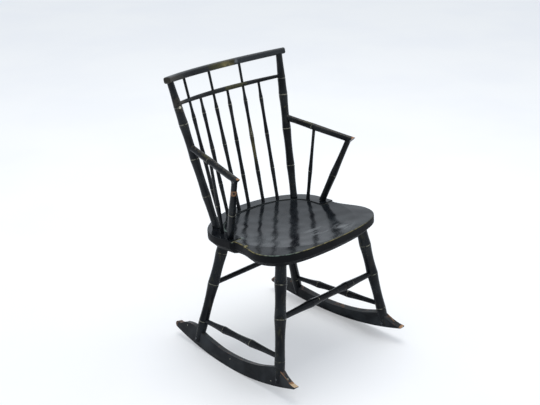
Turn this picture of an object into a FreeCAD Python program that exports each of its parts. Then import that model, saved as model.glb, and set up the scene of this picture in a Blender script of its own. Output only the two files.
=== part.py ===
import FreeCAD, Part
import math
import os
from FreeCAD import Vector

os.makedirs("parts", exist_ok=True)

# A rocking armchair with a square spindle back, turned like bamboo, in black painted wood.
# Millimetres, +Z up. The sitter faces -Y, so the sitter's left is +X.
# While it is drawn, Y = 0 is the line of the arm posts on the seat and Z = 0 is the floor.

# Fits
clearance = 0.15            # round every tenon, blade and trimmed shoulder
socket_bottom = 0.6         # left under each blind tenon
tenon_root = 30.0           # how far an arm's or arm post's tenon is rooted in its own piece

# Seat plank, measured in its own plane
seat_height = 400.0         # deck over the floor at the arm posts
seat_tilt = 4.0             # degrees, lower at the back
seat_thickness = 40.0
seat_edge_band = 22.0       # upright part of the edge
seat_undercut = 17.0        # how far the bevel under the edge runs in
seat_edge_round = 3.0
deck_half_width = 222.0
deck_ellipse_y = 35.0       # where the sides begin to curve round the back
deck_ellipse_depth = 142.0
notch_y = -22.0             # step in front of the arm posts
notch_step = 10.0
front_y = -245.0
front_half_width = 234.0
front_points = (            # (X, Y) of half the front edge, from the waist behind the notch step
    (213.0, -54.0), (226.5, -102.0), (front_half_width, -138.0), (226.0, -177.5),
    (199.0, -209.0), (149.0, -231.0), (74.0, -242.0))

# Saddle and the gutter that parts it from the deck
saddle_depth = 11.0
saddle_centre_y = -33.0
saddle_radius = 1945.0
gutter_inset_side = 52.0
gutter_inset_back = 45.0
gutter_corner_radius = 16.0
gutter_radius = 3.2

# Back: posts and spindles stand on one ellipse, crest and mid rail bow to the back
back_lean = 15.2            # degrees, of the plane that the two bows are square to
stand_inset = 28.0          # from the deck's edge to the line of posts and spindles
crest_half_length = 240.5
crest_end_y = 209.0
crest_end_height = 836.0
crest_bow = 62.2
crest_depth = 23.0
crest_tall = 20.5
crest_end_scale = 0.92
crest_corner = 6.5
crest_end_round = 4.5
rail_drop = 74.0            # mid rail under the crest's ends, at the posts
rail_radius_end = 5.2
rail_radius_middle = 7.2
rail_spans = 8              # lofted stretches of the crest and of the mid rail

post_inset = 55.0           # of the posts' feet, from the deck's widest line
post_top_inset = 17.5       # of the posts' tops, from the crest's ends
post_ring_shares = (0.234, 0.502, 0.748, 0.865)     # of the back's rise
post_ring_radii = (13.2, 13.8, 14.0, 12.8)
post_neck_radii = (11.0, 11.7, 12.0, 12.7, 10.6)
post_base_radius = 11.6
post_top_radius = 10.0
post_foot_tenon = (7.5, 28.0)
post_head_tenon = (5.5, 26.0)   # down from the crest's middle line

spindle_base_x = (21.0, 76.0, 123.0)
spindle_top_x = (30.0, 90.0, 146.0)
spindle_ring_shares = (0.2315, 0.4815, 0.741)       # of the back's rise
spindle_ring_radii = (6.7, 6.7, 6.2)
spindle_neck_radii = (5.6, 5.5, 5.0, 4.5)
spindle_base_radius = 5.6
spindle_head_radius = 4.1
spindle_foot_depth = 20.0
spindle_crest_depth = 4.0   # past the middle line of the crest
spindle_rail_depth = 2.0    # past the middle line of the mid rail
long_spindles = (1, 3, 5)   # counted from the sitter's right, up to the crest

# Arms
arm_rear_rise = 237.0       # over the seat, where it meets the back post
arm_tip_out = 45.0          # of the arm post's foot
arm_tip_y = -85.0
arm_tip_height = 208.0      # over the seat
arm_tip_spare = 14.0
arm_ring = 102.0
arm_ring_radius = 10.6
arm_neck_radii = (9.6, 9.9)
arm_radius = 10.2
arm_mitre_angle = 49.0      # of the end cut, from level
arm_point_rise = 10.0       # the point of the end cut over the arm's middle line
arm_tenon_radius = 5.5
arm_tenon_reach = 6.0       # past the middle line of the back post

arm_post_inset = 24.0       # from the deck's widest line
arm_post_top_y = -66.0
arm_post_ring = 0.43
arm_post_radii = (10.6, 11.4, 8.8)
arm_post_neck_radii = (10.3, 9.0)
arm_post_foot_tenon = (6.5, 24.0)
arm_post_head_tenon = (4.5, 3.0)

arm_spindle_inset = 38.0    # from the deck's widest line
arm_spindle_y = 48.0
arm_spindle_top_y = 57.0
arm_spindle_ring = 0.43
arm_spindle_radii = (5.8, 6.6, 4.8)
arm_spindle_neck_radii = (5.5, 4.9)
arm_spindle_foot_depth = 20.0
arm_spindle_head_depth = 2.0

# Legs: each runs from a place under the seat to its foot in a rocker
front_leg_top = (173.0, -178.0)
rear_leg_top = (120.0, 105.0)
front_foot_y = -236.0
rear_foot_y = 119.0
foot_over_edge = 34.0       # where its middle line crosses the rocker's, over the running edge
leg_ring_shares = (0.1475, 0.4, 0.71)   # of the seat's height, down from the seat
leg_ring_radii = (18.2, 17.6, 15.4)
leg_neck_radii = (16.4, 15.7, 14.3, 14.6)
leg_head_radius = 17.0
leg_toe_radius = 12.4
leg_cheek_end = 9.0         # left between the cheeks' ends and the rocker's running edge
leg_tenon = (10.5, 29.0)

# Rockers: upright blades in plan, leaning in at the top like the legs that straddle them
rocker_balance_y = -20.6    # lowest point of the running edge, under the chair's balance point
rocker_front_radius = 860.0
rocker_rear_radius = 1062.0
rocker_track = 233.7        # half, to the blade's middle plane on the floor at Y = 0
rocker_toe_out = 3.07       # degrees
rocker_cant = 12.1          # degrees from upright
rocker_thickness = 18.0
rocker_toe_y = -308.0
rocker_tail_y = 227.0
rocker_toe_blunt = 3.0
rocker_tail_tall = 16.0
rocker_notch = (206.0, 21.0)
rocker_depths = (           # (Y, height over the running edge), from the notch to the front leg
    (188.0, 35.0), (162.0, 45.0), (143.0, 48.0), (113.0, 43.5), (70.0, 40.5), (28.0, 38.0),
    (-55.0, 38.0), (-110.0, 40.5), (-165.0, 46.0), (-200.0, 52.0), (-226.0, 53.0), (-250.0, 41.0))
rocker_toe_depths = ((-266.0, 27.0), (-290.0, 11.0))
rocker_edge_trim = 2.0      # least wood trimmed off to make the running edge level across
rocker_reach = 120.0        # of the trimming surface, past the seat's front
pin_radius = 2.6
pin_height = 20.0           # over the running edge
pin_proud = 0.4

# Stretchers
stretcher_seat = 4.0        # from the leg's middle line to the stretcher's end
stretcher_tenon_run = 15.0
front_stretcher_ring_x = 76.0
front_stretcher_radii = (8.6, 12.4)
front_stretcher_necks = (9.6, 9.2)
rear_stretcher_radius = 7.6
rear_stretcher_middle = 8.3
side_stretcher_rings = (0.29, 0.645)
side_stretcher_radii = (7.5, 11.6)
side_stretcher_necks = (8.2, 8.9, 8.5)
side_stretcher_over_ring = (11.0, 3.0)   # front, rear

# Scored rings
ring_width = 3.4
ring_depth = 0.9

lean = math.radians(back_lean)
tilt = math.radians(seat_tilt)
lean_up = Vector(0, math.sin(lean), math.cos(lean))
seat_up = Vector(0, math.sin(tilt), math.cos(tilt))
stand_half_width = deck_half_width - stand_inset
stand_depth = deck_ellipse_depth - stand_inset
back_rise = crest_end_height - seat_height
rail_height = crest_end_height - rail_drop
post_base_x = deck_half_width - post_inset
post_top_x = crest_half_length - post_top_inset
post_rings = [share * back_rise for share in post_ring_shares]
spindle_rings = [share * back_rise for share in spindle_ring_shares]
leg_rings = [share * seat_height for share in leg_ring_shares]
arm_post_base_x = deck_half_width - arm_post_inset
arm_height = seat_height + arm_rear_rise
arm_tip = Vector(arm_post_base_x + arm_tip_out, arm_tip_y, seat_height + arm_tip_height)
FAR = 2000.0                # past everything
TINY = 1e-3                 # less than any real difference


def unit(vector):
    return Vector(vector).normalize()


def rod(start, end, radius):
    """Plain cylinder between two points."""
    return Part.makeCylinder(radius, (end - start).Length, start, unit(end - start))


def half_space(point, normal):
    """Block that fills everything ahead of a plane."""
    block = Part.makeBox(FAR, FAR, FAR, Vector(-FAR / 2, -FAR / 2, 0))
    block.Placement = FreeCAD.Placement(point, FreeCAD.Rotation(Vector(0, 0, 1), normal))
    return block


def main_piece(shape):
    """What is left of a trimmed body, without offcuts beyond the trim."""
    return max(shape.Solids, key=lambda solid: solid.Volume)


def curve_between(first, middle, last):
    """Arc through three points, or a line where they lie in one."""
    side = (last - first).cross(middle - first).Length / (last - first).Length
    if side < TINY:
        return Part.LineSegment(first, last).toShape()
    return Part.Arc(first, middle, last).toShape()


def turned(start, end, stations, necks, head=None, foot=None, grow=0.0):
    """Bamboo turning: swells at its scored rings, with a waist in each bay between them.

    stations are (distance along the axis, radius), from the first end to the last.
    foot and head are plain tenons (radius, length) beyond the first and last end.
    """
    length = (end - start).Length
    edges = []
    corner = Vector(0, 0, 0)

    def line_to(point):
        nonlocal corner
        edges.append(Part.LineSegment(corner, point).toShape())
        corner = point

    if foot:
        corner = Vector(0, 0, -foot[1])
        line_to(Vector(foot[0] + grow, 0, -foot[1]))
        line_to(Vector(foot[0] + grow, 0, 0))
    if abs(corner.x - (stations[0][1] + grow)) > TINY:
        line_to(Vector(stations[0][1] + grow, 0, 0))
    for index, neck in enumerate(necks):
        last_bay = index == len(necks) - 1
        distance, radius = stations[index + 1]
        bay_end = distance if last_bay else distance - ring_width / 2
        swell = Vector(radius + grow, 0, bay_end)
        waist = Vector(neck + grow, 0, (corner.z + bay_end) / 2)
        edges.append(curve_between(corner, waist, swell))
        corner = swell
        if not last_bay:
            line_to(Vector(radius + grow - ring_depth, 0, distance))
            line_to(Vector(radius + grow, 0, distance + ring_width / 2))
    if head:
        if abs(head[0] + grow - corner.x) > TINY:
            line_to(Vector(head[0] + grow, 0, length))
        line_to(Vector(head[0] + grow, 0, length + head[1]))
    line_to(Vector(0, 0, corner.z))
    first = edges[0].Vertexes[0].Point
    edges.append(Part.LineSegment(corner, Vector(0, 0, first.z)).toShape())
    profile = Part.Face(Part.Wire(edges))
    shape = profile.revolve(Vector(0, 0, 0), Vector(0, 0, 1), 360)
    shape.Placement = FreeCAD.Placement(start, FreeCAD.Rotation(Vector(0, 0, 1), end - start))
    return shape


def on_seat(x, y, over=0.0):
    """Point in the seat's own plane, as a place in the room."""
    drop = y * math.sin(tilt)
    return Vector(x, y * math.cos(tilt), seat_height - drop) + seat_up * over


def stand_y(x):
    """Line on the deck that the back posts and spindles stand on."""
    return deck_ellipse_y + stand_depth * math.sqrt(1 - (x / stand_half_width) ** 2)


def bow(half_span, end_y, end_z, rise):
    """A rail bowed to the back: gives its middle line and outward direction at any x."""
    radius = (half_span ** 2 + rise ** 2) / (2 * rise)

    def at(x):
        along = math.sqrt(radius ** 2 - x ** 2)
        depth = rise - radius + along
        point = Vector(x, end_y + depth * math.cos(lean), end_z - depth * math.sin(lean))
        outward = Vector(x, along * math.cos(lean), -along * math.sin(lean)) * (1 / radius)
        return point, outward
    return at


crest_line = bow(crest_half_length, crest_end_y, crest_end_height, crest_bow)


def back_axis(base_x, top_x):
    """Middle line of a back post or spindle, from the deck to the crest's middle line."""
    return on_seat(base_x, stand_y(base_x)), crest_line(top_x)[0]


def at_height(axis, z):
    start, end = axis
    return start + (end - start) * ((z - start.z) / (end.z - start.z))


post_axis = back_axis(post_base_x, post_top_x)
rail_end = at_height(post_axis, rail_height)
middle_axis = back_axis(0.0, 0.0)


def rail_bow():
    """Rise of the mid rail, so that its middle stands on the line of the spindles."""
    start, end = middle_axis
    slope = (end.y - start.y) / (end.z - start.z)
    # the rail's plane falls to the back by tan(lean), the line of the spindles rises by slope
    gap = start.y + slope * (rail_height - start.z) - rail_end.y
    depth_y = gap / (1 + slope * math.tan(lean))
    return depth_y / math.cos(lean)


rail_line = bow(rail_end.x, rail_end.y, rail_end.z, rail_bow())


def seat_outline(shrink=0.0):
    """Closed edge of the plank: round back, a notch at each side, a swelling front."""
    across = 1 - shrink / front_half_width
    along = 1 - shrink / ((deck_ellipse_y + deck_ellipse_depth - front_y) / 2)
    middle_y = (deck_ellipse_y + deck_ellipse_depth + front_y) / 2

    def place(x, y, z=0.0):
        return Vector(x * across, middle_y + (y - middle_y) * along, z)

    right = place(deck_half_width, deck_ellipse_y)
    left = place(-deck_half_width, deck_ellipse_y)
    centre = place(0, deck_ellipse_y)
    ellipse = Part.Ellipse(centre, deck_half_width * across, deck_ellipse_depth * along)
    back = ellipse.toShape(0, math.pi)
    half = [(deck_half_width - notch_step, notch_y - notch_step)] + list(front_points)
    points = [place(x, y) for x, y in half] + [place(0, front_y)]
    points += [place(-x, y) for x, y in reversed(half)]
    front = Part.BSplineCurve()
    front.interpolate(points)
    step_right = place(deck_half_width, notch_y)
    step_left = place(-deck_half_width, notch_y)
    edges = [back,
             Part.LineSegment(left, step_left).toShape(),
             Part.LineSegment(step_left, points[-1]).toShape(),
             front.toShape(),
             Part.LineSegment(points[0], step_right).toShape(),
             Part.LineSegment(step_right, right).toShape()]
    return Part.Wire(Part.sortEdges(edges)[0])


def gutter_path():
    """Round in front of the spindles, forward beside the arm posts and out at the notches."""
    side = deck_half_width - gutter_inset_side
    depth = deck_ellipse_depth - gutter_inset_back
    turn_y = notch_y - notch_step / 2
    ellipse = Part.Ellipse(Vector(0, deck_ellipse_y, 0), side, depth)
    edges = [ellipse.toShape(0, math.pi)]
    for hand in (1, -1):
        turn = gutter_corner_radius
        begin = Vector(hand * side, turn_y + turn, 0)
        finish = Vector(hand * (side + turn), turn_y, 0)
        bend = turn * (1 - math.sqrt(0.5))
        middle = Vector(hand * (side + bend), turn_y + bend, 0)
        edges.append(Part.LineSegment(Vector(hand * side, deck_ellipse_y, 0), begin).toShape())
        edges.append(Part.Arc(begin, middle, finish).toShape())
        edges.append(Part.LineSegment(finish, Vector(hand * (front_half_width + turn), turn_y, 0)).toShape())
    return Part.Wire(Part.sortEdges(edges)[0])


def make_seat():
    top = seat_outline()
    slab = Part.Face(top).extrude(Vector(0, 0, -seat_edge_band))
    rim = [edge for edge in slab.Edges if edge.BoundBox.ZMin > -TINY]
    slab = slab.makeFillet(seat_edge_round, rim)
    upper = seat_outline()
    upper.translate(Vector(0, 0, -seat_edge_band))
    lower = seat_outline(seat_undercut)
    lower.translate(Vector(0, 0, -seat_thickness))
    bevel = Part.makeLoft([upper, lower], True, True)
    plank = slab.fuse(bevel).removeSplitter()

    path = gutter_path()
    ends = [vertex.Point for vertex in path.OrderedVertexes]
    across = [Vector(ends[-1].x, front_y - FAR, 0), Vector(ends[0].x, front_y - FAR, 0)]
    closing = Part.makePolygon([ends[-1], across[0], across[1], ends[0]])
    region = Part.Face(Part.Wire(path.Edges + closing.Edges))
    region.translate(Vector(0, 0, -seat_thickness / 2))
    region = region.extrude(Vector(0, 0, seat_thickness))
    ball = Part.makeSphere(saddle_radius, Vector(0, saddle_centre_y, saddle_radius - saddle_depth))
    plank = plank.cut(ball.common(region))

    start = path.OrderedVertexes[0].Point
    ring = Part.Wire(Part.makeCircle(gutter_radius, start, Vector(1, 0, 0)))
    plank = plank.cut(Part.Wire(path).makePipeShell([ring], True, False))
    plank.rotate(Vector(0, 0, 0), Vector(1, 0, 0), -seat_tilt)
    plank.translate(Vector(0, 0, seat_height))
    return plank


def crest_section(x, scale, grow):
    """Rounded rectangle square to the crest's bow."""
    centre, outward = crest_line(x)
    half_depth = crest_depth / 2 * scale + grow
    half_tall = crest_tall / 2 * scale + grow
    corner = crest_corner * scale
    near = corner * (1 - math.sqrt(0.5))

    def at(u, v):
        return centre + outward * u + lean_up * v

    edges = []
    turns = ((1, 1), (-1, 1), (-1, -1), (1, -1))
    for index, (a, b) in enumerate(turns):
        first = at(a * half_depth, b * (half_tall - corner))
        last = at(a * (half_depth - corner), b * half_tall)
        if a * b < 0:
            first, last = last, first
        middle = at(a * (half_depth - near), b * (half_tall - near))
        edges.append(Part.Arc(first, middle, last).toShape())
        c, d = turns[(index + 1) % len(turns)]
        if a * b > 0:
            beyond = at(c * (half_depth - corner), d * half_tall)
        else:
            beyond = at(c * half_depth, d * (half_tall - corner))
        edges.append(Part.LineSegment(last, beyond).toShape())
    return Part.Wire(edges)


def make_crest(grow=0.0):
    sections = []
    for step in range(rail_spans + 1):
        share = 2 * step / rail_spans - 1
        scale = 1 - (1 - crest_end_scale) * share ** 2
        sections.append(crest_section(share * crest_half_length, scale, grow))
    crest = Part.makeLoft(sections, True, False)
    if grow:
        return crest
    near_end = crest_half_length - crest_depth
    ends = [face for face in crest.Faces
            if face.BoundBox.XMin > near_end or face.BoundBox.XMax < -near_end]
    return crest.makeFillet(crest_end_round, [edge for face in ends for edge in face.Edges])


def make_rail(grow=0.0):
    reach = rail_end.x
    sections = []
    for step in range(rail_spans + 1):
        share = 2 * step / rail_spans - 1
        centre, outward = rail_line(share * reach)
        radius = rail_radius_middle - (rail_radius_middle - rail_radius_end) * share ** 2 + grow
        along = outward.cross(lean_up)
        sections.append(Part.Wire(Part.makeCircle(radius, centre, along)))
    return Part.makeLoft(sections, True, False)


def make_post(hand, grow=0.0):
    start, end = (Vector(hand * p.x, p.y, p.z) for p in post_axis)
    length = (end - start).Length
    stations = [(0.0, post_base_radius)] + list(zip(post_rings, post_ring_radii))
    stations.append((length, post_top_radius))
    return turned(start, end, stations, post_neck_radii, grow=grow)


def peg(point, direction, radius, length, back=0.0):
    """Cylinder that starts a little behind a point and runs on along a direction."""
    direction = unit(direction)
    return rod(point - direction * back, point + direction * length, radius)


def leg_axis(top, foot_y, hand):
    foot = rocker_place(foot_y, hand, running_height(foot_y) + foot_over_edge)
    under = on_seat(hand * top[0], top[1], -seat_thickness)
    return under, foot


def rocker_place(y, hand, z):
    """Point on a rocker's middle plane."""
    out = rocker_track - y * math.tan(math.radians(rocker_toe_out)) - z * math.tan(math.radians(rocker_cant))
    return Vector(hand * out, y, z)


def rocker_turn(hand):
    """How a blade stands: leaning in at the top, then toed out at the front."""
    cant = FreeCAD.Rotation(Vector(0, 1, 0), -hand * rocker_cant)
    return FreeCAD.Rotation(Vector(0, 0, 1), hand * rocker_toe_out) * cant


def running_height(y):
    """Height of the rocker's running edge over the floor."""
    radius = rocker_front_radius if y < rocker_balance_y else rocker_rear_radius
    return radius - math.sqrt(radius ** 2 - (y - rocker_balance_y) ** 2)


def running_edge(first_y, last_y):
    """The two arcs that the chair rocks on, from front to rear, in the YZ plane."""
    edges = []
    for begin, finish in ((first_y, rocker_balance_y), (rocker_balance_y, last_y)):
        points = [Vector(0, y, running_height(y)) for y in (begin, (begin + finish) / 2, finish)]
        edges.append(Part.Arc(*points).toShape())
    return edges


def running_body():
    """Everything over the surface that both rockers run on."""
    ends = [Vector(0, y, running_height(y)) for y in (front_y - rocker_reach, rocker_reach - front_y)]
    front_end, rear_end = ends
    lid = [rear_end, Vector(0, rear_end.y, seat_height), Vector(0, front_end.y, seat_height), front_end]
    edges = running_edge(front_end.y, rear_end.y)
    edges += [Part.LineSegment(a, b).toShape() for a, b in zip(lid, lid[1:])]
    face = Part.Face(Part.Wire(edges))
    face.translate(Vector(-FAR / 2, 0, 0))
    return face.extrude(Vector(FAR, 0, 0))


def make_rocker(hand, grow=0.0):
    half = rocker_thickness / 2 + grow
    cant = math.radians(rocker_cant)
    spare = (half * math.sin(cant) + grow + rocker_edge_trim) / math.cos(cant)

    def at(y, depth):
        return Vector(0, y, (running_height(y) + depth) / math.cos(cant))

    top_points = [at(y, depth + grow) for y, depth in rocker_depths]
    crown = Part.BSplineCurve()
    crown.interpolate(top_points)
    toe_top = at(rocker_toe_y, rocker_toe_blunt)
    toe = Part.BSplineCurve()
    toe.interpolate([top_points[-1]] + [at(y, depth) for y, depth in rocker_toe_depths] + [toe_top])
    notch = at(*rocker_notch)
    tail_top = at(rocker_tail_y - rocker_tail_tall / 2, rocker_tail_tall)
    tail_mid = at(rocker_tail_y + rocker_tail_tall / 4, rocker_tail_tall / 2)
    tail_low = at(rocker_tail_y, 0)
    under_toe = at(rocker_toe_y, -spare)
    under_middle = at(rocker_balance_y, -spare)
    under_tail = at(rocker_tail_y, -spare)
    edges = [Part.Arc(under_tail, under_middle, under_toe).toShape(),
             Part.LineSegment(under_toe, toe_top).toShape(),
             toe.toShape(),
             crown.toShape(),
             Part.LineSegment(top_points[0], notch).toShape(),
             Part.LineSegment(notch, tail_top).toShape(),
             Part.Arc(tail_top, tail_mid, tail_low).toShape(),
             Part.LineSegment(tail_low, under_tail).toShape()]
    face = Part.Face(Part.Wire(Part.sortEdges(edges)[0]))
    face.translate(Vector(-half, 0, 0))
    blade = face.extrude(Vector(2 * half, 0, 0))
    blade.Placement = FreeCAD.Placement(Vector(hand * rocker_track, 0, 0), rocker_turn(hand))
    if grow:
        return blade
    return blade.common(running_body())


shapes = {}
holes = {}


def cut_later(name, tool):
    holes.setdefault(name, []).append(tool)


def side_name(name, hand):
    return f"{name}_{'left' if hand > 0 else 'right'}"


shapes["seat"] = make_seat()
shapes["crest_rail"] = make_crest()
shapes["mid_rail"] = make_rail()
crest_envelope = make_crest(clearance)
rail_envelope = make_rail(clearance)

for hand in (1, -1):
    post = side_name("back_post", hand)
    base, top = (Vector(hand * p.x, p.y, p.z) for p in post_axis)
    rise = unit(top - base)
    body = make_post(hand).cut([half_space(on_seat(0, 0, clearance), seat_up * -1), crest_envelope])
    body = main_piece(body)
    foot_radius, foot_length = post_foot_tenon
    head_radius, head_length = post_head_tenon
    foot = peg(base, rise * -1, foot_radius, foot_length, back=foot_length)
    head = peg(top, rise * -1, head_radius, head_length)
    shapes[post] = body.fuse([foot, head]).removeSplitter()
    cut_later("seat", peg(base, rise * -1, foot_radius + clearance, foot_length + socket_bottom, foot_length))
    cut_later("crest_rail", peg(top, rise * -1, head_radius + clearance, head_length, socket_bottom))
    cut_later(post, rail_envelope)

spindle_count = 2 * len(spindle_base_x)
for number in range(1, spindle_count + 1):
    from_middle = number - (spindle_count + 1) / 2
    hand = 1 if from_middle > 0 else -1
    index = int(abs(from_middle))
    base, top = back_axis(hand * spindle_base_x[index], hand * spindle_top_x[index])
    rise = unit(top - base)
    at_rail = at_height((base, top), rail_line(hand * spindle_top_x[index])[0].z)
    rail_distance = (at_rail - base).Length
    reaches_crest = number in long_spindles
    end = top + rise * spindle_crest_depth if reaches_crest else at_rail + rise * spindle_rail_depth
    length = (end - base).Length
    head_run = length - rail_distance + 2 * rail_radius_middle
    stations = [(0.0, spindle_base_radius)] + list(zip(spindle_rings, spindle_ring_radii))
    stations.append((length - head_run, spindle_head_radius))
    name = f"spindle_{number}"
    head_start = end - rise * head_run
    shapes[name] = turned(base, head_start, stations, spindle_neck_radii,
                          head=(spindle_head_radius, head_run),
                          foot=(spindle_base_radius, spindle_foot_depth))
    cut_later("seat", peg(base, rise * -1, spindle_base_radius + clearance,
                          spindle_foot_depth + socket_bottom, seat_thickness))
    socket = peg(end, rise * -1, spindle_head_radius + clearance, head_run, socket_bottom)
    cut_later("mid_rail", socket)
    if reaches_crest:
        cut_later("crest_rail", socket)

for hand in (1, -1):
    post = side_name("back_post", hand)
    arm = side_name("arm", hand)
    post_line = tuple(Vector(hand * p.x, p.y, p.z) for p in post_axis)
    start = at_height(post_line, arm_height)
    tip = Vector(hand * arm_tip.x, arm_tip.y, arm_tip.z)
    forward = unit(tip - start)
    end = tip + forward * arm_tip_spare
    length = (end - start).Length
    arm_stations = [(0.0, arm_radius), (arm_ring, arm_ring_radius), (length, arm_radius)]
    body = turned(start, end, arm_stations, arm_neck_radii)
    mitre = math.radians(arm_mitre_angle)
    cut_normal = Vector(0, -math.sin(mitre), -math.cos(mitre))
    beyond_tip = half_space(tip + Vector(0, 0, arm_point_rise), cut_normal)
    arm_body = main_piece(body.cut(beyond_tip).cut(make_post(hand, clearance)))
    arm_envelope = turned(start, end, arm_stations, arm_neck_radii, grow=clearance).cut(beyond_tip)
    cut_later(post, peg(start, forward, arm_tenon_radius + clearance, tenon_root,
                        arm_tenon_reach + socket_bottom))

    def on_arm(y):
        return start + (tip - start) * ((y - start.y) / (tip.y - start.y))

    # Arm post
    base = on_seat(hand * arm_post_base_x, 0)
    top = on_arm(arm_post_top_y)
    rise = unit(top - base)
    length = (top - base).Length
    stations = list(zip((0.0, arm_post_ring * length, length), arm_post_radii))
    body = turned(base, top, stations, arm_post_neck_radii)
    body = main_piece(body.cut([half_space(on_seat(0, 0, clearance), seat_up * -1), arm_envelope]))
    foot_radius, foot_length = arm_post_foot_tenon
    head_radius, head_length = arm_post_head_tenon
    foot = peg(base, rise * -1, foot_radius, foot_length, foot_length)
    head = peg(top, rise * -1, head_radius, tenon_root, head_length)
    shapes[side_name("arm_post", hand)] = body.fuse([foot, head]).removeSplitter()
    cut_later("seat", peg(base, rise * -1, foot_radius + clearance, foot_length + socket_bottom, foot_length))
    post_socket = peg(top, rise * -1, head_radius + clearance, tenon_root, head_length + socket_bottom)

    # Arm spindle
    base = on_seat(hand * (deck_half_width - arm_spindle_inset), arm_spindle_y)
    top = on_arm(arm_spindle_top_y)
    rise = unit(top - base)
    head_run = 2 * arm_radius
    foot_radius, ring_radius, head_radius = arm_spindle_radii
    body_end = top - rise * head_run
    length = (body_end - base).Length
    stations = [(0.0, foot_radius), (arm_spindle_ring * length, ring_radius), (length, head_radius)]
    shapes[side_name("arm_spindle", hand)] = turned(
        base, body_end, stations, arm_spindle_neck_radii,
        head=(head_radius, head_run + arm_spindle_head_depth),
        foot=(foot_radius, arm_spindle_foot_depth))
    cut_later("seat", peg(base, rise * -1, foot_radius + clearance,
                          arm_spindle_foot_depth + socket_bottom, seat_thickness))
    spindle_socket = peg(top, rise * -1, head_radius + clearance, head_run,
                         arm_spindle_head_depth + socket_bottom)
    tenon = peg(start, forward, arm_tenon_radius, tenon_root, arm_tenon_reach)
    shapes[arm] = main_piece(arm_body.cut([post_socket, spindle_socket])).fuse(tenon)

leg_lines = {}
for hand in (1, -1):
    rocker = side_name("rocker", hand)
    shapes[rocker] = make_rocker(hand)
    blade_room = make_rocker(hand, clearance)
    across = rocker_turn(hand).multVec(Vector(1, 0, 0))
    for which, top_place, foot_y in (("front", front_leg_top, front_foot_y),
                                     ("rear", rear_leg_top, rear_foot_y)):
        name = side_name(f"leg_{which}", hand)
        top, foot = leg_axis(top_place, foot_y, hand)
        down = unit(foot - top)
        cheek_end = at_height((top, foot), running_height(foot_y) + leg_cheek_end)
        length = (cheek_end - top).Length
        leg_lines[name] = (top, foot)
        head = top - down * leg_head_radius
        shift = leg_head_radius
        stations = [(0.0, leg_head_radius)]
        stations += [(shift + distance, radius) for distance, radius in zip(leg_rings, leg_ring_radii)]
        stations.append((shift + length, leg_toe_radius))
        body = turned(head, cheek_end, stations, leg_neck_radii)
        body = body.cut([half_space(on_seat(0, 0, -seat_thickness - clearance), seat_up), blade_room])
        body = main_piece(body)
        tenon_radius, tenon_length = leg_tenon
        tenon = peg(top, down, tenon_radius, tenon_length, tenon_length)
        shapes[name] = body.fuse(tenon).removeSplitter()
        cut_later("seat", peg(top, down, tenon_radius + clearance, tenon_length,
                              tenon_length + socket_bottom))
        # Pin through the cheeks and the blade
        pin_z = running_height(foot_y) + pin_height
        centre = at_height((top, foot), pin_z)
        reach = leg_neck_radii[-1] + pin_proud
        pin = side_name(f"rocker_pin_{which}", hand)
        shapes[pin] = rod(centre - across * reach, centre + across * reach, pin_radius)
        bore = rod(centre - across * 2 * reach, centre + across * 2 * reach, pin_radius + clearance)
        cut_later(name, bore)
        cut_later(rocker, bore)


def stretcher(name, first_leg, second_leg, first_point, second_point, radius, ring_share, necks, swell):
    """Turning between two legs, with plain ends that stop inside them."""
    along = unit(second_point - first_point)
    start = first_point + along * (stretcher_seat + stretcher_tenon_run)
    end = second_point - along * (stretcher_seat + stretcher_tenon_run)
    length = (end - start).Length
    whole = (second_point - first_point).Length
    stations = [(0.0, radius)]
    for share in ring_share:
        stations.append((share * whole - stretcher_seat - stretcher_tenon_run, swell))
    stations.append((length, radius))
    tenon = (radius, stretcher_tenon_run)
    shapes[name] = turned(start, end, stations, necks, head=tenon, foot=tenon)
    reach = 2 * leg_head_radius
    seat_room = stretcher_seat - socket_bottom
    cut_later(first_leg, peg(first_point + along * seat_room, along, radius + clearance, reach))
    cut_later(second_leg, peg(second_point - along * seat_room, along * -1, radius + clearance, reach))


def along_leg(name, distance):
    top, foot = leg_lines[name]
    return top + unit(foot - top) * distance


ring_upper, ring_middle, ring_lower = leg_rings
front_ends = [along_leg(side_name("leg_front", hand), ring_middle) for hand in (1, -1)]
front_share = 0.5 - front_stretcher_ring_x / (front_ends[0] - front_ends[1]).Length
end_neck, middle_neck = front_stretcher_necks
stretcher("stretcher_front", "leg_front_left", "leg_front_right", *front_ends,
          front_stretcher_radii[0], (front_share, 1 - front_share),
          (end_neck, middle_neck, end_neck), front_stretcher_radii[1])
rear_ends = [along_leg(side_name("leg_rear", hand), ring_middle) for hand in (1, -1)]
stretcher("stretcher_rear", "leg_rear_left", "leg_rear_right", *rear_ends,
          rear_stretcher_radius, (), (rear_stretcher_middle,), rear_stretcher_radius)
for hand in (1, -1):
    front_leg = side_name("leg_front", hand)
    rear_leg = side_name("leg_rear", hand)
    front_over, rear_over = side_stretcher_over_ring
    stretcher(side_name("stretcher_side", hand), rear_leg, front_leg,
              along_leg(rear_leg, ring_lower - rear_over), along_leg(front_leg, ring_lower - front_over),
              side_stretcher_radii[0], side_stretcher_rings, side_stretcher_necks, side_stretcher_radii[1])

for name, tools in holes.items():
    for tool in tools:
        shapes[name] = shapes[name].cut(tool)

box = FreeCAD.BoundBox()
for shape in shapes.values():
    box.add(shape.optimalBoundingBox(False, False))
to_origin = Vector(-box.Center.x, -box.Center.y, -box.ZMin)
mass_sum = Vector(0, 0, 0)
volume = 0.0
for name, shape in shapes.items():
    shape.translate(to_origin)
    solid = main_piece(shape)
    mass_sum += solid.CenterOfMass * solid.Volume
    volume += solid.Volume
    solid.exportStep(f"parts/{name}.step")
    print(name, len(shape.Solids), "solid", "valid" if solid.isValid() else "INVALID", round(solid.Volume))
balance = mass_sum * (1 / volume)
arc_middle = rocker_balance_y + to_origin.y
print("pieces", len(shapes), "size", [round(v, 1) for v in (box.XLength, box.YLength, box.ZLength)])
print("balance", [round(v, 2) for v in balance], "rocker arc middle", round(arc_middle, 2))
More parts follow.
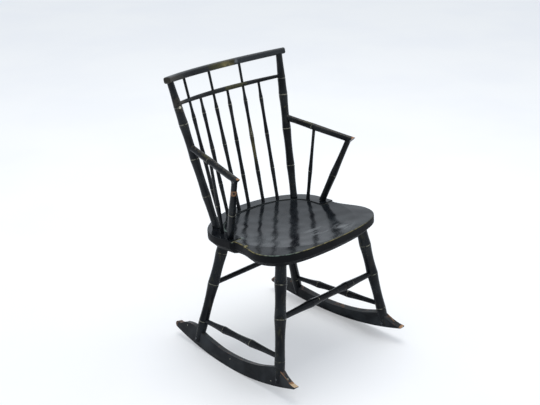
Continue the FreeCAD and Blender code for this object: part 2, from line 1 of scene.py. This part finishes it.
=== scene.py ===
import math

import bpy
import numpy as np
from mathutils import Euler, Matrix, Vector

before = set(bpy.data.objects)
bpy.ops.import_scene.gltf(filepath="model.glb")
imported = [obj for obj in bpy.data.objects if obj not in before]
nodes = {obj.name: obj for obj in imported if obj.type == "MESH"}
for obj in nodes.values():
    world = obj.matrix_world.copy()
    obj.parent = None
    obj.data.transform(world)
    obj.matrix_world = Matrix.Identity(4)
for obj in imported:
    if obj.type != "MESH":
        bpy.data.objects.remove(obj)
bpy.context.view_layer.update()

# Metres, +Z up. The sitter faces -Y, so the sitter's left is +X.
MM = 0.001
UP = (0, 0, 1)
DOWN = (0, 0, -1)
FORWARD = (0, -1, 0)
LEFTWARD = (1, 0, 0)
LEFT = 1
RIGHT = -1

# Colours, linear
BLACK_PAINT = (0.0045, 0.0055, 0.0075, 1)
# Painted shade for the plank's sides and underside, darker than the black paint
RIM_PAINTED_SHADE = (0.0015, 0.0020, 0.0030, 1)
RUBBED_PAINT = (0.0150, 0.0180, 0.0210, 1)
BROWN_BLACK = (0.046, 0.041, 0.032, 1)
OLIVE_RUB = (0.062, 0.060, 0.028, 1)
GOLD_RUB = (0.235, 0.198, 0.085, 1)
# Slate, for rubbed patches and for a painted sheen on the crest's top
SLATE_RUB_AND_SHEEN = (0.042, 0.047, 0.052, 1)
RING_PAINT = (0.240, 0.232, 0.180, 1)
LINE_YELLOW = (0.230, 0.200, 0.085, 1)
LINE_GREEN = (0.130, 0.185, 0.160, 1)
BARE_WOOD = (0.360, 0.185, 0.090, 1)
# Painted highlight on bare wood, at the worn tips of the arms and the toes of the rockers
BARE_WOOD_HIGHLIGHT = (0.680, 0.520, 0.330, 1)
WORN_BROWN = (0.110, 0.062, 0.040, 1)
PALE_CHIP = (0.620, 0.590, 0.470, 1)
SCUFF_GREY = (0.165, 0.175, 0.185, 1)
FLOOR_WHITE = (0.960, 0.975, 0.990, 1)
FLOOR_SHADE = (0.920, 0.940, 0.975, 1)

# Shine
PAINT_IOR = 1.5
PAINT_SPECULAR = 0.15
TURNED_SPECULAR = 0.14
BACK_SPECULAR = 0.22    # the spindles and posts, polished by backs and sleeves
PIN_ROUGHNESS = 0.4
FLOOR_ROUGHNESS = 0.85

# The studio: a pale world, brighter beyond the chair, and one broad lamp overhead
WORLD_BLUE = (0.87, 0.93, 1.0, 1)
BRIGHT_SIDE = Vector((0.75, 0.62, 0.20)).normalized()
WORLD_DIM = 0.42
WORLD_BRIGHT = 1.10
SEEN_WORLD = 1.0        # strength of the world that the camera itself sees
SEEN_WHITE = 0.30       # share of plain white that the camera adds to the floor
FLOOR_SPAN = 80
LAMP_PLACE = Vector((0.5, 0.3, 3.4))
LAMP_SIZE = 2.6
LAMP_POWER = 58
LAMP_WARM = (1.0, 0.965, 0.92)

# The camera, from the fit to both sides of the chair
CAMERA_PLACE = Vector((-2.0581, -1.9905, 1.6650))
CAMERA_AZIMUTH = -45.2745
CAMERA_ELEVATION = 22.9016
CAMERA_ROLL = 0.0526
CAMERA_FOCAL_PX = 1040.20
PHOTO_WIDTH_PX = 540
SENSOR_WIDTH = 36.0

# The seat's own plane, and the gutter and edge on it
SEAT_TILT = math.radians(4)
SEAT_UP = Vector((0, math.sin(SEAT_TILT), math.cos(SEAT_TILT)))
DECK_POINT = Vector((0, 13.65, 400)) * MM
NOTCH_Y = -9 * MM
GUTTER_HALF_WIDTH = 170 * MM
GUTTER_DEPTH = 97 * MM
GUTTER_CENTRE_Y = 48.65 * MM
GUTTER_TURN_Y = -13.35 * MM    # here the line leaves the gutter and runs out to the notch
GUTTER_RADIUS = 3.2 * MM

# Distances of the scored rings from the hidden tenon end that each turned piece starts from
POST_RINGS = (0.130, 0.247, 0.354, 0.405)
SPINDLE_RINGS = (0.121, 0.230, 0.343)
LEG_RINGS = (0.088, 0.189, 0.313)
ARM_RINGS = (0.108,)
ARM_POST_RINGS = (0.119,)
ARM_SPINDLE_RINGS = (0.109,)
FRONT_STRETCHER_RINGS = (0.152, 0.304)

# Rings of the side stretchers, as shares of the distance between the middle lines of their legs
SIDE_STRETCHER_SHARES = (0.29, 0.645)
SIDE_STRETCHER_SHORT = 4 * MM    # each end stops this far from the leg's middle line

# A ring's painted line is solid to the first distance from its middle, and gone at the second
RING_SOLID = 0.96 * MM
RING_GONE = 1.76 * MM

# The way the brush strokes and the wood's grain run, as a stretch of the noise
GRAIN_UP = (1.0, 1.0, 0.10)
GRAIN_ACROSS = (0.12, 1.0, 1.0)
GRAIN_FORWARD = (1.0, 0.10, 1.0)

# Places of wear. Where only one side has it, it is the sitter's right.
SHOULDER_SPINDLE = 5
POST_RUB = Vector((-207.0, 201.0, 764.0)) * MM
POST_CHIP = Vector((-215.4, 197.6, 756.4)) * MM
ARM_TIP = Vector((241.0, -73.5, 618.0)) * MM
ARM_RUB = Vector((215.3, 88.7, 636.9)) * MM
ARM_POST_KNOT = Vector((-237.2, -46.2, 566.0)) * MM
CREST_SPOT = Vector((72.3, 266.6, 824.7)) * MM
SEAT_SCUFFS = ((Vector((10, -140, 404)) * MM, 60 * MM), (Vector((76, -172, 409)) * MM, 55 * MM))
SEAT_CORNER = Vector((-195, -190, 405)) * MM
SEAT_WAIST = Vector((-213.5, -68.0, 403.5)) * MM
TOE_BARED_FROM = {LEFT: -282 * MM, RIGHT: -266 * MM}
ROCKER_NICKS = (
    (Vector((-234.9, -257.0, 60.7)) * MM, 2.6 * MM),
    (Vector((-239.1, -21.4, 26.5)) * MM, 1.8 * MM),
    (Vector((-246.9, -200.5, 34.7)) * MM, 1.8 * MM),
    (Vector((-222.5, 189.0, 51.4)) * MM, 1.8 * MM),
)


class Tree:
    """A node tree that grows one line at a time."""

    def __init__(self, tree):
        self.tree = tree

    def add(self, kind, **settings):
        node = self.tree.nodes.new(kind)
        for key, value in settings.items():
            setattr(node, key, value)
        return node

    def put(self, socket, value):
        """Link a socket to another one, or set its value."""
        if isinstance(value, bpy.types.NodeSocket):
            self.tree.links.new(value, socket)
        else:
            socket.default_value = value

    def math(self, operation, *values):
        node = self.add("ShaderNodeMath", operation=operation)
        for socket, value in zip(node.inputs, values):
            self.put(socket, value)
        return node.outputs[0]

    def dot(self, vector, direction):
        node = self.add("ShaderNodeVectorMath", operation="DOT_PRODUCT")
        self.put(node.inputs[0], vector)
        self.put(node.inputs[1], direction)
        return node.outputs["Value"]

    def is_camera_ray(self):
        return self.add("ShaderNodeLightPath").outputs["Is Camera Ray"]


class Finish(Tree):
    """Nodes of one paint or floor finish."""

    def __init__(self, name):
        self.material = bpy.data.materials.new(name)
        self.material.use_nodes = True
        super().__init__(self.material.node_tree)
        self.tree.nodes.clear()
        self.place = self.add("ShaderNodeTexCoord").outputs["Object"]

    def xyz(self):
        node = self.add("ShaderNodeSeparateXYZ")
        self.put(node.inputs[0], self.place)
        return node.outputs

    def facing(self, direction):
        """1 where the surface faces the direction, 0 where it is edge on to it."""
        return self.dot(self.add("ShaderNodeNewGeometry").outputs["Normal"], direction)

    def both(self, first, *others):
        """Product of masks."""
        for other in others:
            first = self.math("MULTIPLY", first, other)
        return first

    def either(self, first, *others):
        """Largest of masks."""
        for other in others:
            first = self.math("MAXIMUM", first, other)
        return first

    def off(self, value, middle):
        """How far value is from middle, without its sign."""
        return self.math("ABSOLUTE", self.math("SUBTRACT", value, middle))

    def noise(self, scale, detail=3.0, stretch=(1.0, 1.0, 1.0), turn=(0.0, 0.0, 0.0)):
        mapping = self.add("ShaderNodeMapping")
        self.put(mapping.inputs["Vector"], self.place)
        self.put(mapping.inputs["Rotation"], turn)
        self.put(mapping.inputs["Scale"], stretch)
        node = self.add("ShaderNodeTexNoise")
        self.put(node.inputs["Vector"], mapping.outputs[0])
        self.put(node.inputs["Scale"], scale)
        self.put(node.inputs["Detail"], detail)
        return node.outputs["Fac"]

    def swing(self, scale, reach):
        """Noise about 0, of the given reach."""
        return self.both(self.math("SUBTRACT", self.noise(scale, detail=4.0), 0.5), reach)

    def step(self, value, low, high, at_low=0.0, at_high=1.0):
        """Smooth change from at_low to at_high while value goes from low to high."""
        node = self.add("ShaderNodeMapRange", interpolation_type="SMOOTHSTEP")
        self.put(node.inputs["Value"], value)
        self.put(node.inputs["From Min"], low)
        self.put(node.inputs["From Max"], high)
        self.put(node.inputs["To Min"], at_low)
        self.put(node.inputs["To Max"], at_high)
        return node.outputs[0]

    def fall(self, value, low, high):
        """Smooth change from 1 to 0 while value goes from low to high."""
        return self.step(value, low, high, at_low=1.0, at_high=0.0)

    def band(self, value, low, high, soft):
        """1 between low and high, with soft edges."""
        risen = self.step(value, low - soft, low + soft)
        return self.both(risen, self.fall(value, high - soft, high + soft))

    def spot(self, centre, radius, soft=0.5):
        """1 inside a ball, falling to 0 at its edge."""
        away = self.add("ShaderNodeVectorMath", operation="DISTANCE")
        self.put(away.inputs[0], self.place)
        self.put(away.inputs[1], centre)
        return self.fall(away.outputs["Value"], radius * (1 - soft), radius)

    def stroke(self, first, last, radius):
        """1 along a straight scratch or rub between two places, falling to 0 at radius from it."""
        run = last - first
        to_share = run / run.length_squared
        share = self.math("SUBTRACT", self.dot(self.place, to_share), first @ to_share)
        share = self.math("MINIMUM", self.math("MAXIMUM", share, 0.0), 1.0)
        on_run = self.add("ShaderNodeVectorMath", operation="SCALE")
        self.put(on_run.inputs[0], run)
        self.put(on_run.inputs["Scale"], share)
        nearest = self.add("ShaderNodeVectorMath", operation="ADD")
        self.put(nearest.inputs[0], on_run.outputs[0])
        self.put(nearest.inputs[1], first)
        away = self.add("ShaderNodeVectorMath", operation="DISTANCE")
        self.put(away.inputs[0], self.place)
        self.put(away.inputs[1], nearest.outputs[0])
        return self.fall(away.outputs["Value"], 0.0, radius)

    def ragged(self, mask, scale=180.0, keep=0.45, soft=0.12):
        """Break the soft edge of a mask up with noise, as paint wears."""
        frayed = self.math("ADD", mask, self.swing(scale, reach=1.6))
        return self.step(frayed, keep - soft, keep + soft)

    def mix(self, share, first, second):
        node = self.add("ShaderNodeMix", data_type="RGBA")
        self.put(node.inputs["Factor"], share)
        self.put(node.inputs["A"], first)
        self.put(node.inputs["B"], second)
        return node.outputs["Result"]

    def paint(self, colour, tint, mask, share=1.0):
        """Colour with a tint laid over it where the mask is, covering the given share."""
        return self.mix(self.both(mask, share), colour, tint)

    def bump(self, height, strength, distance, over=None):
        node = self.add("ShaderNodeBump")
        self.put(node.inputs["Strength"], strength)
        self.put(node.inputs["Distance"], distance)
        self.put(node.inputs["Height"], height)
        if over is not None:
            self.put(node.inputs["Normal"], over)
        return node.outputs[0]

    def shade(self, colour, roughness, normal=None, specular=PAINT_SPECULAR):
        shader = self.add("ShaderNodeBsdfPrincipled")
        self.put(shader.inputs["Base Color"], colour)
        self.put(shader.inputs["Roughness"], roughness)
        self.put(shader.inputs["IOR"], PAINT_IOR)
        self.put(shader.inputs["Specular IOR Level"], specular)
        if normal is not None:
            self.put(shader.inputs["Normal"], normal)
        return shader.outputs[0]

    def output(self, surface):
        self.put(self.add("ShaderNodeOutputMaterial").inputs["Surface"], surface)
        return self.material


def dress(name, material):
    for slot in nodes[name].material_slots:
        slot.material = material


def sides(name):
    return f"{name}_left", f"{name}_right"


def middle_line(name, toward):
    """Middle line of a turned piece, from its own mesh: its direction, and how far along its ends are."""
    points = np.array([vertex.co for vertex in nodes[name].data.vertices])
    direction = np.linalg.svd(points - points.mean(axis=0), full_matrices=False)[2][0]
    if direction @ np.array(toward) < 0:
        direction = -direction
    along = points @ direction
    return Vector(direction), float(along.min()), float(along.max())


def old_paint(finish, grain=GRAIN_UP):
    """Two coats of black that has gone slate in patches and brown in streaks along the grain."""
    mottle = finish.noise(14.0, detail=4.0)
    streak = finish.noise(95.0, stretch=grain)
    colour = finish.mix(finish.step(mottle, 0.40, 0.68), BLACK_PAINT, RUBBED_PAINT)
    colour = finish.paint(colour, BROWN_BLACK, finish.step(streak, 0.55, 0.80), share=0.55)
    return colour, mottle, streak


def chips(finish, mottle):
    """Fine flecks, in patches, where the paint has gone through to an older ground."""
    fleck = finish.step(finish.noise(420.0, detail=2.0), 0.66, 0.72)
    return finish.both(fleck, finish.step(mottle, 0.46, 0.60))


def gloss(finish, mottle, smooth, dull):
    """Roughness that goes from smooth to dull as the mottling does."""
    return finish.step(mottle, 0.35, 0.70, at_low=smooth, at_high=dull)


def paint_normal(finish, streak):
    """Brush lines and small dents in the paint."""
    dents = finish.noise(260.0, detail=2.0)
    height = finish.math("ADD", finish.both(streak, 0.7), finish.both(dents, 0.3))
    return finish.bump(height, strength=0.12, distance=0.5 * MM)


def rings(finish, direction, start, distances):
    """Painted lines in the scored rings of a turned piece, partly worn off."""
    along = finish.math("SUBTRACT", finish.dot(finish.place, direction), start)
    lines = [finish.fall(finish.off(along, distance), RING_SOLID, RING_GONE) for distance in distances]
    left_over = finish.step(finish.noise(110.0, detail=4.0), 0.38, 0.64, at_low=0.08)
    return finish.both(finish.either(*lines), left_over)


def finish_turning(name, toward, distances, marks=None, specular=TURNED_SPECULAR):
    """Satin black turning with its rings. marks paints what wear it has over them."""
    finish = Finish(f"{name}_finish")
    colour, mottle, streak = old_paint(finish)
    colour = finish.paint(colour, GOLD_RUB, chips(finish, mottle), share=0.6)
    if distances:
        direction, start, _ = middle_line(name, toward)
        colour = finish.paint(colour, RING_PAINT, rings(finish, direction, start, distances))
    if marks:
        colour = marks(finish, colour)
    roughness = gloss(finish, mottle, smooth=0.16, dull=0.32)
    dress(name, finish.output(finish.shade(colour, roughness, paint_normal(finish, streak), specular)))


def shoulder_marks(finish, colour):
    """A spindle rubbed through to gold beside the sitter's left shoulder."""
    _, _, z = finish.xyz()
    olive = finish.band(z, low=515 * MM, high=630 * MM, soft=15 * MM)
    gold = finish.band(z, low=525 * MM, high=580 * MM, soft=12 * MM)
    pale = finish.band(z, low=592 * MM, high=625 * MM, soft=10 * MM)
    gold = finish.ragged(finish.both(gold, 0.50), scale=420.0, keep=0.50)
    pale = finish.ragged(finish.both(pale, 0.46), scale=420.0, keep=0.52)
    colour = finish.paint(colour, OLIVE_RUB, olive, share=0.6)
    colour = finish.paint(colour, GOLD_RUB, gold, share=0.55)
    return finish.paint(colour, PALE_CHIP, pale, share=0.30)


def post_marks(finish, colour):
    """Brown rub and a lost chip where the mid rail enters the post."""
    brown_patch = finish.ragged(finish.both(finish.spot(POST_RUB, 35 * MM), 0.6))
    colour = finish.paint(colour, BROWN_BLACK, brown_patch, share=0.7)
    return finish.paint(colour, PALE_CHIP, finish.spot(POST_CHIP, 4.8 * MM))


def arm_marks(hand):
    """Arms worn to bare wood at their tips, with a painted highlight on the bare wood, and rubbed olive
    along the top, whose brown is part wear and part painted highlight.
    """
    to_hand = Matrix.Diagonal((hand, 1, 1))

    def marks(finish, colour):
        tip = to_hand @ ARM_TIP
        top = finish.step(finish.facing(UP), 0.55, 0.95)
        # Brown along the top: part wear, part painted highlight where the top faces up.
        brown_patch = finish.ragged(finish.both(top, 0.50), scale=120.0)
        olive = finish.both(finish.spot(to_hand @ ARM_RUB, 22 * MM), top)
        bare = finish.ragged(finish.spot(tip, 15 * MM, soft=0.8), scale=220.0, keep=0.50)
        # Painted highlight: a pale spot on the bare wood at the tip's upper corner.
        pale = finish.spot(tip + Vector((0, -2, 2)) * MM, 6 * MM, soft=0.8)
        colour = finish.paint(colour, BROWN_BLACK, brown_patch, share=0.8)
        colour = finish.paint(colour, OLIVE_RUB, olive, share=0.6)
        colour = finish.paint(colour, BARE_WOOD, bare, share=0.75)
        return finish.paint(colour, BARE_WOOD_HIGHLIGHT, pale, share=0.8)

    return marks


def arm_post_marks(finish, colour):
    """A hand's grip has bared a band under the arm, with a dark knot in it."""
    _, _, z = finish.xyz()
    gripped = finish.band(z, low=556.0 * MM, high=574.5 * MM, soft=3 * MM)
    bare = finish.ragged(finish.both(gripped, 0.64), scale=260.0)
    colour = finish.paint(colour, BARE_WOOD, bare, share=0.55)
    return finish.paint(colour, BLACK_PAINT, finish.spot(ARM_POST_KNOT, 4.5 * MM))


def leg_marks(finish, colour):
    """Olive streaks here and there."""
    streaks = finish.noise(75.0, detail=4.0, stretch=(1.0, 1.0, 0.30))
    return finish.paint(colour, OLIVE_RUB, finish.step(streaks, 0.60, 0.72), share=0.40)


def finish_back():
    for number in range(1, 7):
        marks = shoulder_marks if number == SHOULDER_SPINDLE else None
        finish_turning(f"spindle_{number}", UP, SPINDLE_RINGS, marks, BACK_SPECULAR)
    finish_turning("back_post_left", UP, POST_RINGS, specular=BACK_SPECULAR)
    finish_turning("back_post_right", UP, POST_RINGS, post_marks, BACK_SPECULAR)


def finish_arms():
    for hand, name in zip((LEFT, RIGHT), sides("arm")):
        finish_turning(name, FORWARD, ARM_RINGS, arm_marks(hand))
    finish_turning("arm_post_left", UP, ARM_POST_RINGS)
    finish_turning("arm_post_right", UP, ARM_POST_RINGS, arm_post_marks)
    for name in sides("arm_spindle"):
        finish_turning(name, UP, ARM_SPINDLE_RINGS)


def side_stretcher_rings(name):
    """Distances of a side stretcher's rings, which the splay of its legs sets."""
    _, start, end = middle_line(name, FORWARD)
    between_legs = end - start + 2 * SIDE_STRETCHER_SHORT
    return [share * between_legs - SIDE_STRETCHER_SHORT for share in SIDE_STRETCHER_SHARES]


def finish_base():
    for name in sides("leg_front") + sides("leg_rear"):
        finish_turning(name, DOWN, LEG_RINGS, leg_marks)
    finish_turning("stretcher_front", LEFTWARD, FRONT_STRETCHER_RINGS)
    finish_turning("stretcher_rear", LEFTWARD, ())
    for name in sides("stretcher_side"):
        finish_turning(name, FORWARD, side_stretcher_rings(name))


def finish_crest():
    """Square crest: brown where it is handled at one end, olive and gold in the middle, slate beyond, and
    a painted sheen of lighter slate on its top.
    """
    finish = Finish("crest_finish")
    colour, mottle, streak = old_paint(finish, GRAIN_ACROSS)
    x, _, z = finish.xyz()
    along = finish.math("ADD", x, finish.swing(30.0, reach=90 * MM))
    handled = finish.fall(along, -235 * MM, -120 * MM)
    olive = finish.band(along, low=-30 * MM, high=50 * MM, soft=30 * MM)
    gold = finish.band(along, low=8 * MM, high=66 * MM, soft=20 * MM)
    slate = finish.step(along, 62 * MM, 78 * MM)
    under_top = finish.step(z, 815 * MM, 833 * MM, at_low=1.0, at_high=0.35)
    rubbed = finish.step(finish.noise(60.0, detail=5.0), 0.28, 0.56)
    top = finish.step(finish.facing(UP), 0.35, 0.85)
    colour = finish.paint(colour, BROWN_BLACK, handled, share=0.85)
    colour = finish.paint(colour, OLIVE_RUB, olive, share=0.75)
    colour = finish.paint(colour, GOLD_RUB, finish.both(gold, under_top, rubbed), share=0.85)
    colour = finish.paint(colour, SLATE_RUB_AND_SHEEN, slate, share=0.75)
    # Painted sheen: the top face is lighter slate.
    colour = finish.paint(colour, SLATE_RUB_AND_SHEEN, top, share=0.55)
    colour = finish.paint(colour, SCUFF_GREY, finish.spot(CREST_SPOT, 9 * MM, soft=0.9), share=0.8)
    colour = finish.paint(colour, GOLD_RUB, chips(finish, mottle), share=0.5)
    roughness = gloss(finish, mottle, smooth=0.30, dull=0.45)
    dress("crest_rail", finish.output(finish.shade(colour, roughness, paint_normal(finish, streak))))


def finish_mid_rail():
    """Thin rail: brown at the end that is handled, olive in its middle."""
    finish = Finish("mid_rail_finish")
    colour, mottle, streak = old_paint(finish, GRAIN_ACROSS)
    x, _, _ = finish.xyz()
    near_end = finish.step(x, -195 * MM, -150 * MM, at_low=0.75, at_high=0.0)
    middle = finish.band(x, low=5 * MM, high=100 * MM, soft=30 * MM)
    colour = finish.paint(colour, BROWN_BLACK, finish.ragged(near_end, scale=140.0), share=0.8)
    olive = finish.ragged(finish.both(middle, 0.60), scale=90.0)
    colour = finish.paint(colour, OLIVE_RUB, olive, share=0.75)
    colour = finish.paint(colour, GOLD_RUB, chips(finish, mottle), share=0.7)
    roughness = gloss(finish, mottle, smooth=0.22, dull=0.38)
    dress("mid_rail", finish.output(finish.shade(colour, roughness, paint_normal(finish, streak))))


def over_deck(finish):
    """Height over the flat of the plank, square to it."""
    return finish.math("SUBTRACT", finish.dot(finish.place, SEAT_UP), DECK_POINT @ SEAT_UP)


def seat_line(finish):
    """Striping on the arris round the front of the plank, clearest on the sitter's right."""
    x, y, _ = finish.xyz()
    facing = finish.facing(SEAT_UP)
    arris = finish.both(finish.step(facing, 0.35, 0.55), finish.fall(facing, 0.955, 0.985))
    upper = finish.step(over_deck(finish), -3.6 * MM, -3.0 * MM)
    front = finish.fall(y, NOTCH_Y - 4 * MM, NOTCH_Y)
    fade = finish.step(x, 20 * MM, 200 * MM, at_low=1.0, at_high=0.12)
    left_over = finish.step(finish.noise(90.0, detail=4.0), 0.38, 0.60, at_low=0.20, at_high=0.9)
    return finish.both(arris, upper, front, fade, left_over)


def gutter_line(finish):
    """Green line left in the gutter, clearest beside the arm post on the sitter's right."""
    x, y, _ = finish.xyz()
    side = finish.math("ABSOLUTE", x)
    behind = finish.math("SUBTRACT", y, GUTTER_CENTRE_Y)
    across_share = finish.math("POWER", finish.both(x, 1 / GUTTER_HALF_WIDTH), 2.0)
    behind_share = finish.math("POWER", finish.both(behind, 1 / GUTTER_DEPTH), 2.0)
    ellipse = finish.math("SQRT", finish.math("ADD", across_share, behind_share))
    off_ellipse = finish.both(finish.off(ellipse, 1.0), GUTTER_DEPTH)
    narrow = GUTTER_RADIUS * 0.4, GUTTER_RADIUS * 0.8
    curved = finish.fall(off_ellipse, GUTTER_RADIUS * 0.5, GUTTER_RADIUS)
    straight = finish.fall(finish.off(side, GUTTER_HALF_WIDTH), *narrow)
    outward = finish.fall(finish.off(y, GUTTER_TURN_Y), *narrow)
    curved = finish.both(curved, finish.step(behind, -MM, MM))
    straight = finish.both(straight, finish.fall(behind, -MM, MM), finish.step(y, -30 * MM, -22 * MM))
    outward = finish.both(outward, finish.step(side, 172 * MM, 180 * MM))
    fade = finish.step(x, -190 * MM, -110 * MM, at_low=1.0, at_high=0.05)
    above_edge = finish.step(over_deck(finish), -4.5 * MM, -3.5 * MM)
    left_over = finish.step(finish.noise(70.0, detail=4.0), 0.34, 0.56, at_low=0.15)
    return finish.both(finish.either(curved, straight, outward), fade, above_edge, left_over)


def finish_seat():
    """Glossy plank, polished by use, with fine scratches, grey scuffs, the last of its striping, and
    painted shade on its sides and underside.
    """
    finish = Finish("seat_finish")
    scratch_turn = (0.0, 0.0, 0.35)
    facing = finish.facing(SEAT_UP)
    mottle = finish.noise(10.0, detail=4.0)
    streak = finish.noise(150.0, stretch=GRAIN_FORWARD)
    scratch = finish.noise(260.0, detail=2.0, stretch=(0.08, 1.0, 1.0), turn=scratch_turn)
    haze = finish.noise(60.0, detail=4.0, stretch=(0.35, 1.0, 1.0), turn=scratch_turn)
    scuffed = finish.either(*(finish.spot(place, radius, soft=0.9) for place, radius in SEAT_SCUFFS))
    scuff = finish.both(scuffed, finish.step(haze, 0.44, 0.64))
    line_tint = finish.mix(finish.spot(SEAT_CORNER, 85 * MM, soft=0.8), LINE_YELLOW, LINE_GREEN)
    colour = finish.mix(finish.step(mottle, 0.34, 0.66), BLACK_PAINT, RUBBED_PAINT)
    colour = finish.paint(colour, BROWN_BLACK, finish.step(streak, 0.55, 0.80), share=0.25)
    # Painted shade: where the plank's sides and underside turn away from its top, they are darkened to
    # near black.
    colour = finish.paint(colour, RIM_PAINTED_SHADE, finish.fall(facing, 0.30, 0.80))
    colour = finish.paint(colour, SCUFF_GREY, scuff, share=0.55)
    colour = finish.paint(colour, LINE_GREEN, gutter_line(finish), share=0.70)
    colour = finish.paint(colour, line_tint, seat_line(finish))
    colour = finish.paint(colour, LINE_YELLOW, finish.spot(SEAT_WAIST, 8 * MM), share=0.8)
    polished = finish.step(facing, 0.80, 0.99, at_low=0.62, at_high=0.13)
    dulled = finish.either(finish.step(mottle, 0.45, 0.75), scuff)
    roughness = finish.math("ADD", polished, finish.both(dulled, 0.10))
    waves = finish.bump(finish.noise(26.0, detail=0.0), strength=1.0, distance=1.1 * MM)
    fine = finish.math("ADD", finish.both(streak, 0.6), finish.both(scratch, 0.4))
    normal = finish.bump(fine, strength=0.10, distance=0.25 * MM, over=waves)
    dress("seat", finish.output(finish.shade(colour, roughness, normal)))


def finish_rocker(hand, name):
    """Dull blade, bared at the toe, along the upper edges and on the nub at the tail, with a painted
    highlight at the tip of the toe.
    """
    finish = Finish(f"{name}_finish")
    colour, mottle, streak = old_paint(finish, GRAIN_FORWARD)
    _, y, _ = finish.xyz()
    toe_from = TOE_BARED_FROM[hand]
    top = finish.step(finish.facing(UP), 0.60, 0.85)
    edge = finish.ragged(finish.both(top, 0.40), scale=60.0, keep=0.56)
    toe = finish.both(top, finish.fall(y, toe_from - 8 * MM, toe_from))
    # Painted highlight at the tip of the toe, on its upward-facing faces
    tip = finish.both(top, finish.fall(y, toe_from - 16 * MM, toe_from - 6 * MM))
    nub_top = finish.both(top, finish.step(y, 214 * MM, 220 * MM))
    nub = finish.either(nub_top, finish.step(y, 233 * MM, 238 * MM))
    rub_first = Vector((hand * 240.0, -233.0, 75.0)) * MM
    rub_last = Vector((hand * 239.2, -262.0, 58.5)) * MM
    colour = finish.paint(colour, SLATE_RUB_AND_SHEEN, finish.step(mottle, 0.3, 0.7), share=0.5)
    colour = finish.paint(colour, WORN_BROWN, edge, share=0.8)
    colour = finish.paint(colour, BARE_WOOD, finish.stroke(rub_first, rub_last, 2.2 * MM), share=0.8)
    colour = finish.paint(colour, WORN_BROWN, finish.ragged(nub, scale=150.0), share=0.8)
    colour = finish.paint(colour, BARE_WOOD, finish.ragged(toe, scale=130.0), share=0.85)
    # Painted highlight: pale wood at the toe's tip.
    colour = finish.paint(colour, BARE_WOOD_HIGHLIGHT, finish.ragged(tip, scale=130.0), share=0.75)
    colour = finish.paint(colour, WORN_BROWN, chips(finish, mottle), share=0.4)
    for place, radius in ROCKER_NICKS if hand == RIGHT else ():
        colour = finish.paint(colour, PALE_CHIP, finish.spot(place, radius), share=0.8)
    roughness = gloss(finish, mottle, smooth=0.38, dull=0.52)
    dress(name, finish.output(finish.shade(colour, roughness, paint_normal(finish, streak))))


def finish_pins():
    """Pegs whose ends show as dull grey dots in the paint."""
    for name in sides("rocker_pin_front") + sides("rocker_pin_rear"):
        finish = Finish(f"{name}_finish")
        colour, _, streak = old_paint(finish)
        dulled = finish.step(finish.noise(500.0), 0.35, 0.65, at_low=0.3, at_high=0.7)
        colour = finish.paint(colour, SCUFF_GREY, dulled)
        dress(name, finish.output(finish.shade(colour, PIN_ROUGHNESS, paint_normal(finish, streak))))


def make_floor():
    """Pale sheet of floor. To the camera it is a little brighter than its own white."""
    bpy.ops.mesh.primitive_plane_add(size=FLOOR_SPAN, location=(0, 0, 0))
    floor = bpy.context.object
    floor.name = "floor"
    finish = Finish("floor_white")
    colour = finish.mix(finish.step(finish.noise(1.4), 0.38, 0.66), FLOOR_WHITE, FLOOR_SHADE)
    blend = finish.add("ShaderNodeMixShader")
    finish.put(blend.inputs["Fac"], finish.both(finish.is_camera_ray(), SEEN_WHITE))
    finish.put(blend.inputs[1], finish.shade(colour, FLOOR_ROUGHNESS))
    finish.put(blend.inputs[2], finish.add("ShaderNodeEmission").outputs[0])
    floor.data.materials.append(finish.output(blend.outputs[0]))


def make_world():
    """World that lights the chair with a gradient, and that the camera sees as plain white."""
    world = bpy.data.worlds.new("studio")
    world.use_nodes = True
    tree = Tree(world.node_tree)
    way = tree.add("ShaderNodeTexCoord").outputs["Generated"]
    level = tree.add("ShaderNodeMapRange")
    tree.put(level.inputs["Value"], tree.dot(way, BRIGHT_SIDE))
    tree.put(level.inputs["From Min"], -1.0)
    tree.put(level.inputs["To Min"], WORLD_DIM)
    tree.put(level.inputs["To Max"], WORLD_BRIGHT)
    strength = tree.add("ShaderNodeMix")
    tree.put(strength.inputs["Factor"], tree.is_camera_ray())
    tree.put(strength.inputs["A"], level.outputs["Result"])
    tree.put(strength.inputs["B"], SEEN_WORLD)
    background = world.node_tree.nodes["Background"]
    tree.put(background.inputs["Color"], WORLD_BLUE)
    tree.put(background.inputs["Strength"], strength.outputs["Result"])
    bpy.context.scene.world = world


def hang_lamp():
    """Broad round lamp over the chair, turned toward its seat."""
    lamp = bpy.data.lights.new("lamp", "AREA")
    lamp.shape = "DISK"
    lamp.size = LAMP_SIZE
    lamp.energy = LAMP_POWER
    lamp.color = LAMP_WARM
    holder = bpy.data.objects.new("lamp", lamp)
    holder.location = LAMP_PLACE
    holder.rotation_euler = (DECK_POINT - LAMP_PLACE).to_track_quat("-Z", "Y").to_euler()
    bpy.context.collection.objects.link(holder)


def make_camera():
    """Camera at the photo's viewpoint."""
    camera = bpy.data.cameras.new("camera")
    camera.sensor_width = SENSOR_WIDTH
    camera.lens = SENSOR_WIDTH * CAMERA_FOCAL_PX / PHOTO_WIDTH_PX
    camera.clip_start = 0.05
    camera.clip_end = 100
    pitch = math.pi / 2 - math.radians(CAMERA_ELEVATION)
    aim = Euler((pitch, 0, math.radians(CAMERA_AZIMUTH))).to_matrix()
    roll = Matrix.Rotation(math.radians(CAMERA_ROLL), 3, "Z")
    holder = bpy.data.objects.new("camera", camera)
    holder.rotation_euler = (aim @ roll).to_euler()
    holder.location = CAMERA_PLACE
    bpy.context.collection.objects.link(holder)
    bpy.context.scene.camera = holder


finish_back()
finish_arms()
finish_base()
finish_crest()
finish_mid_rail()
finish_seat()
for hand, name in zip((LEFT, RIGHT), sides("rocker")):
    finish_rocker(hand, name)
finish_pins()
make_floor()
make_world()
hang_lamp()
make_camera()
bpy.context.scene.view_settings.view_transform = "Standard"
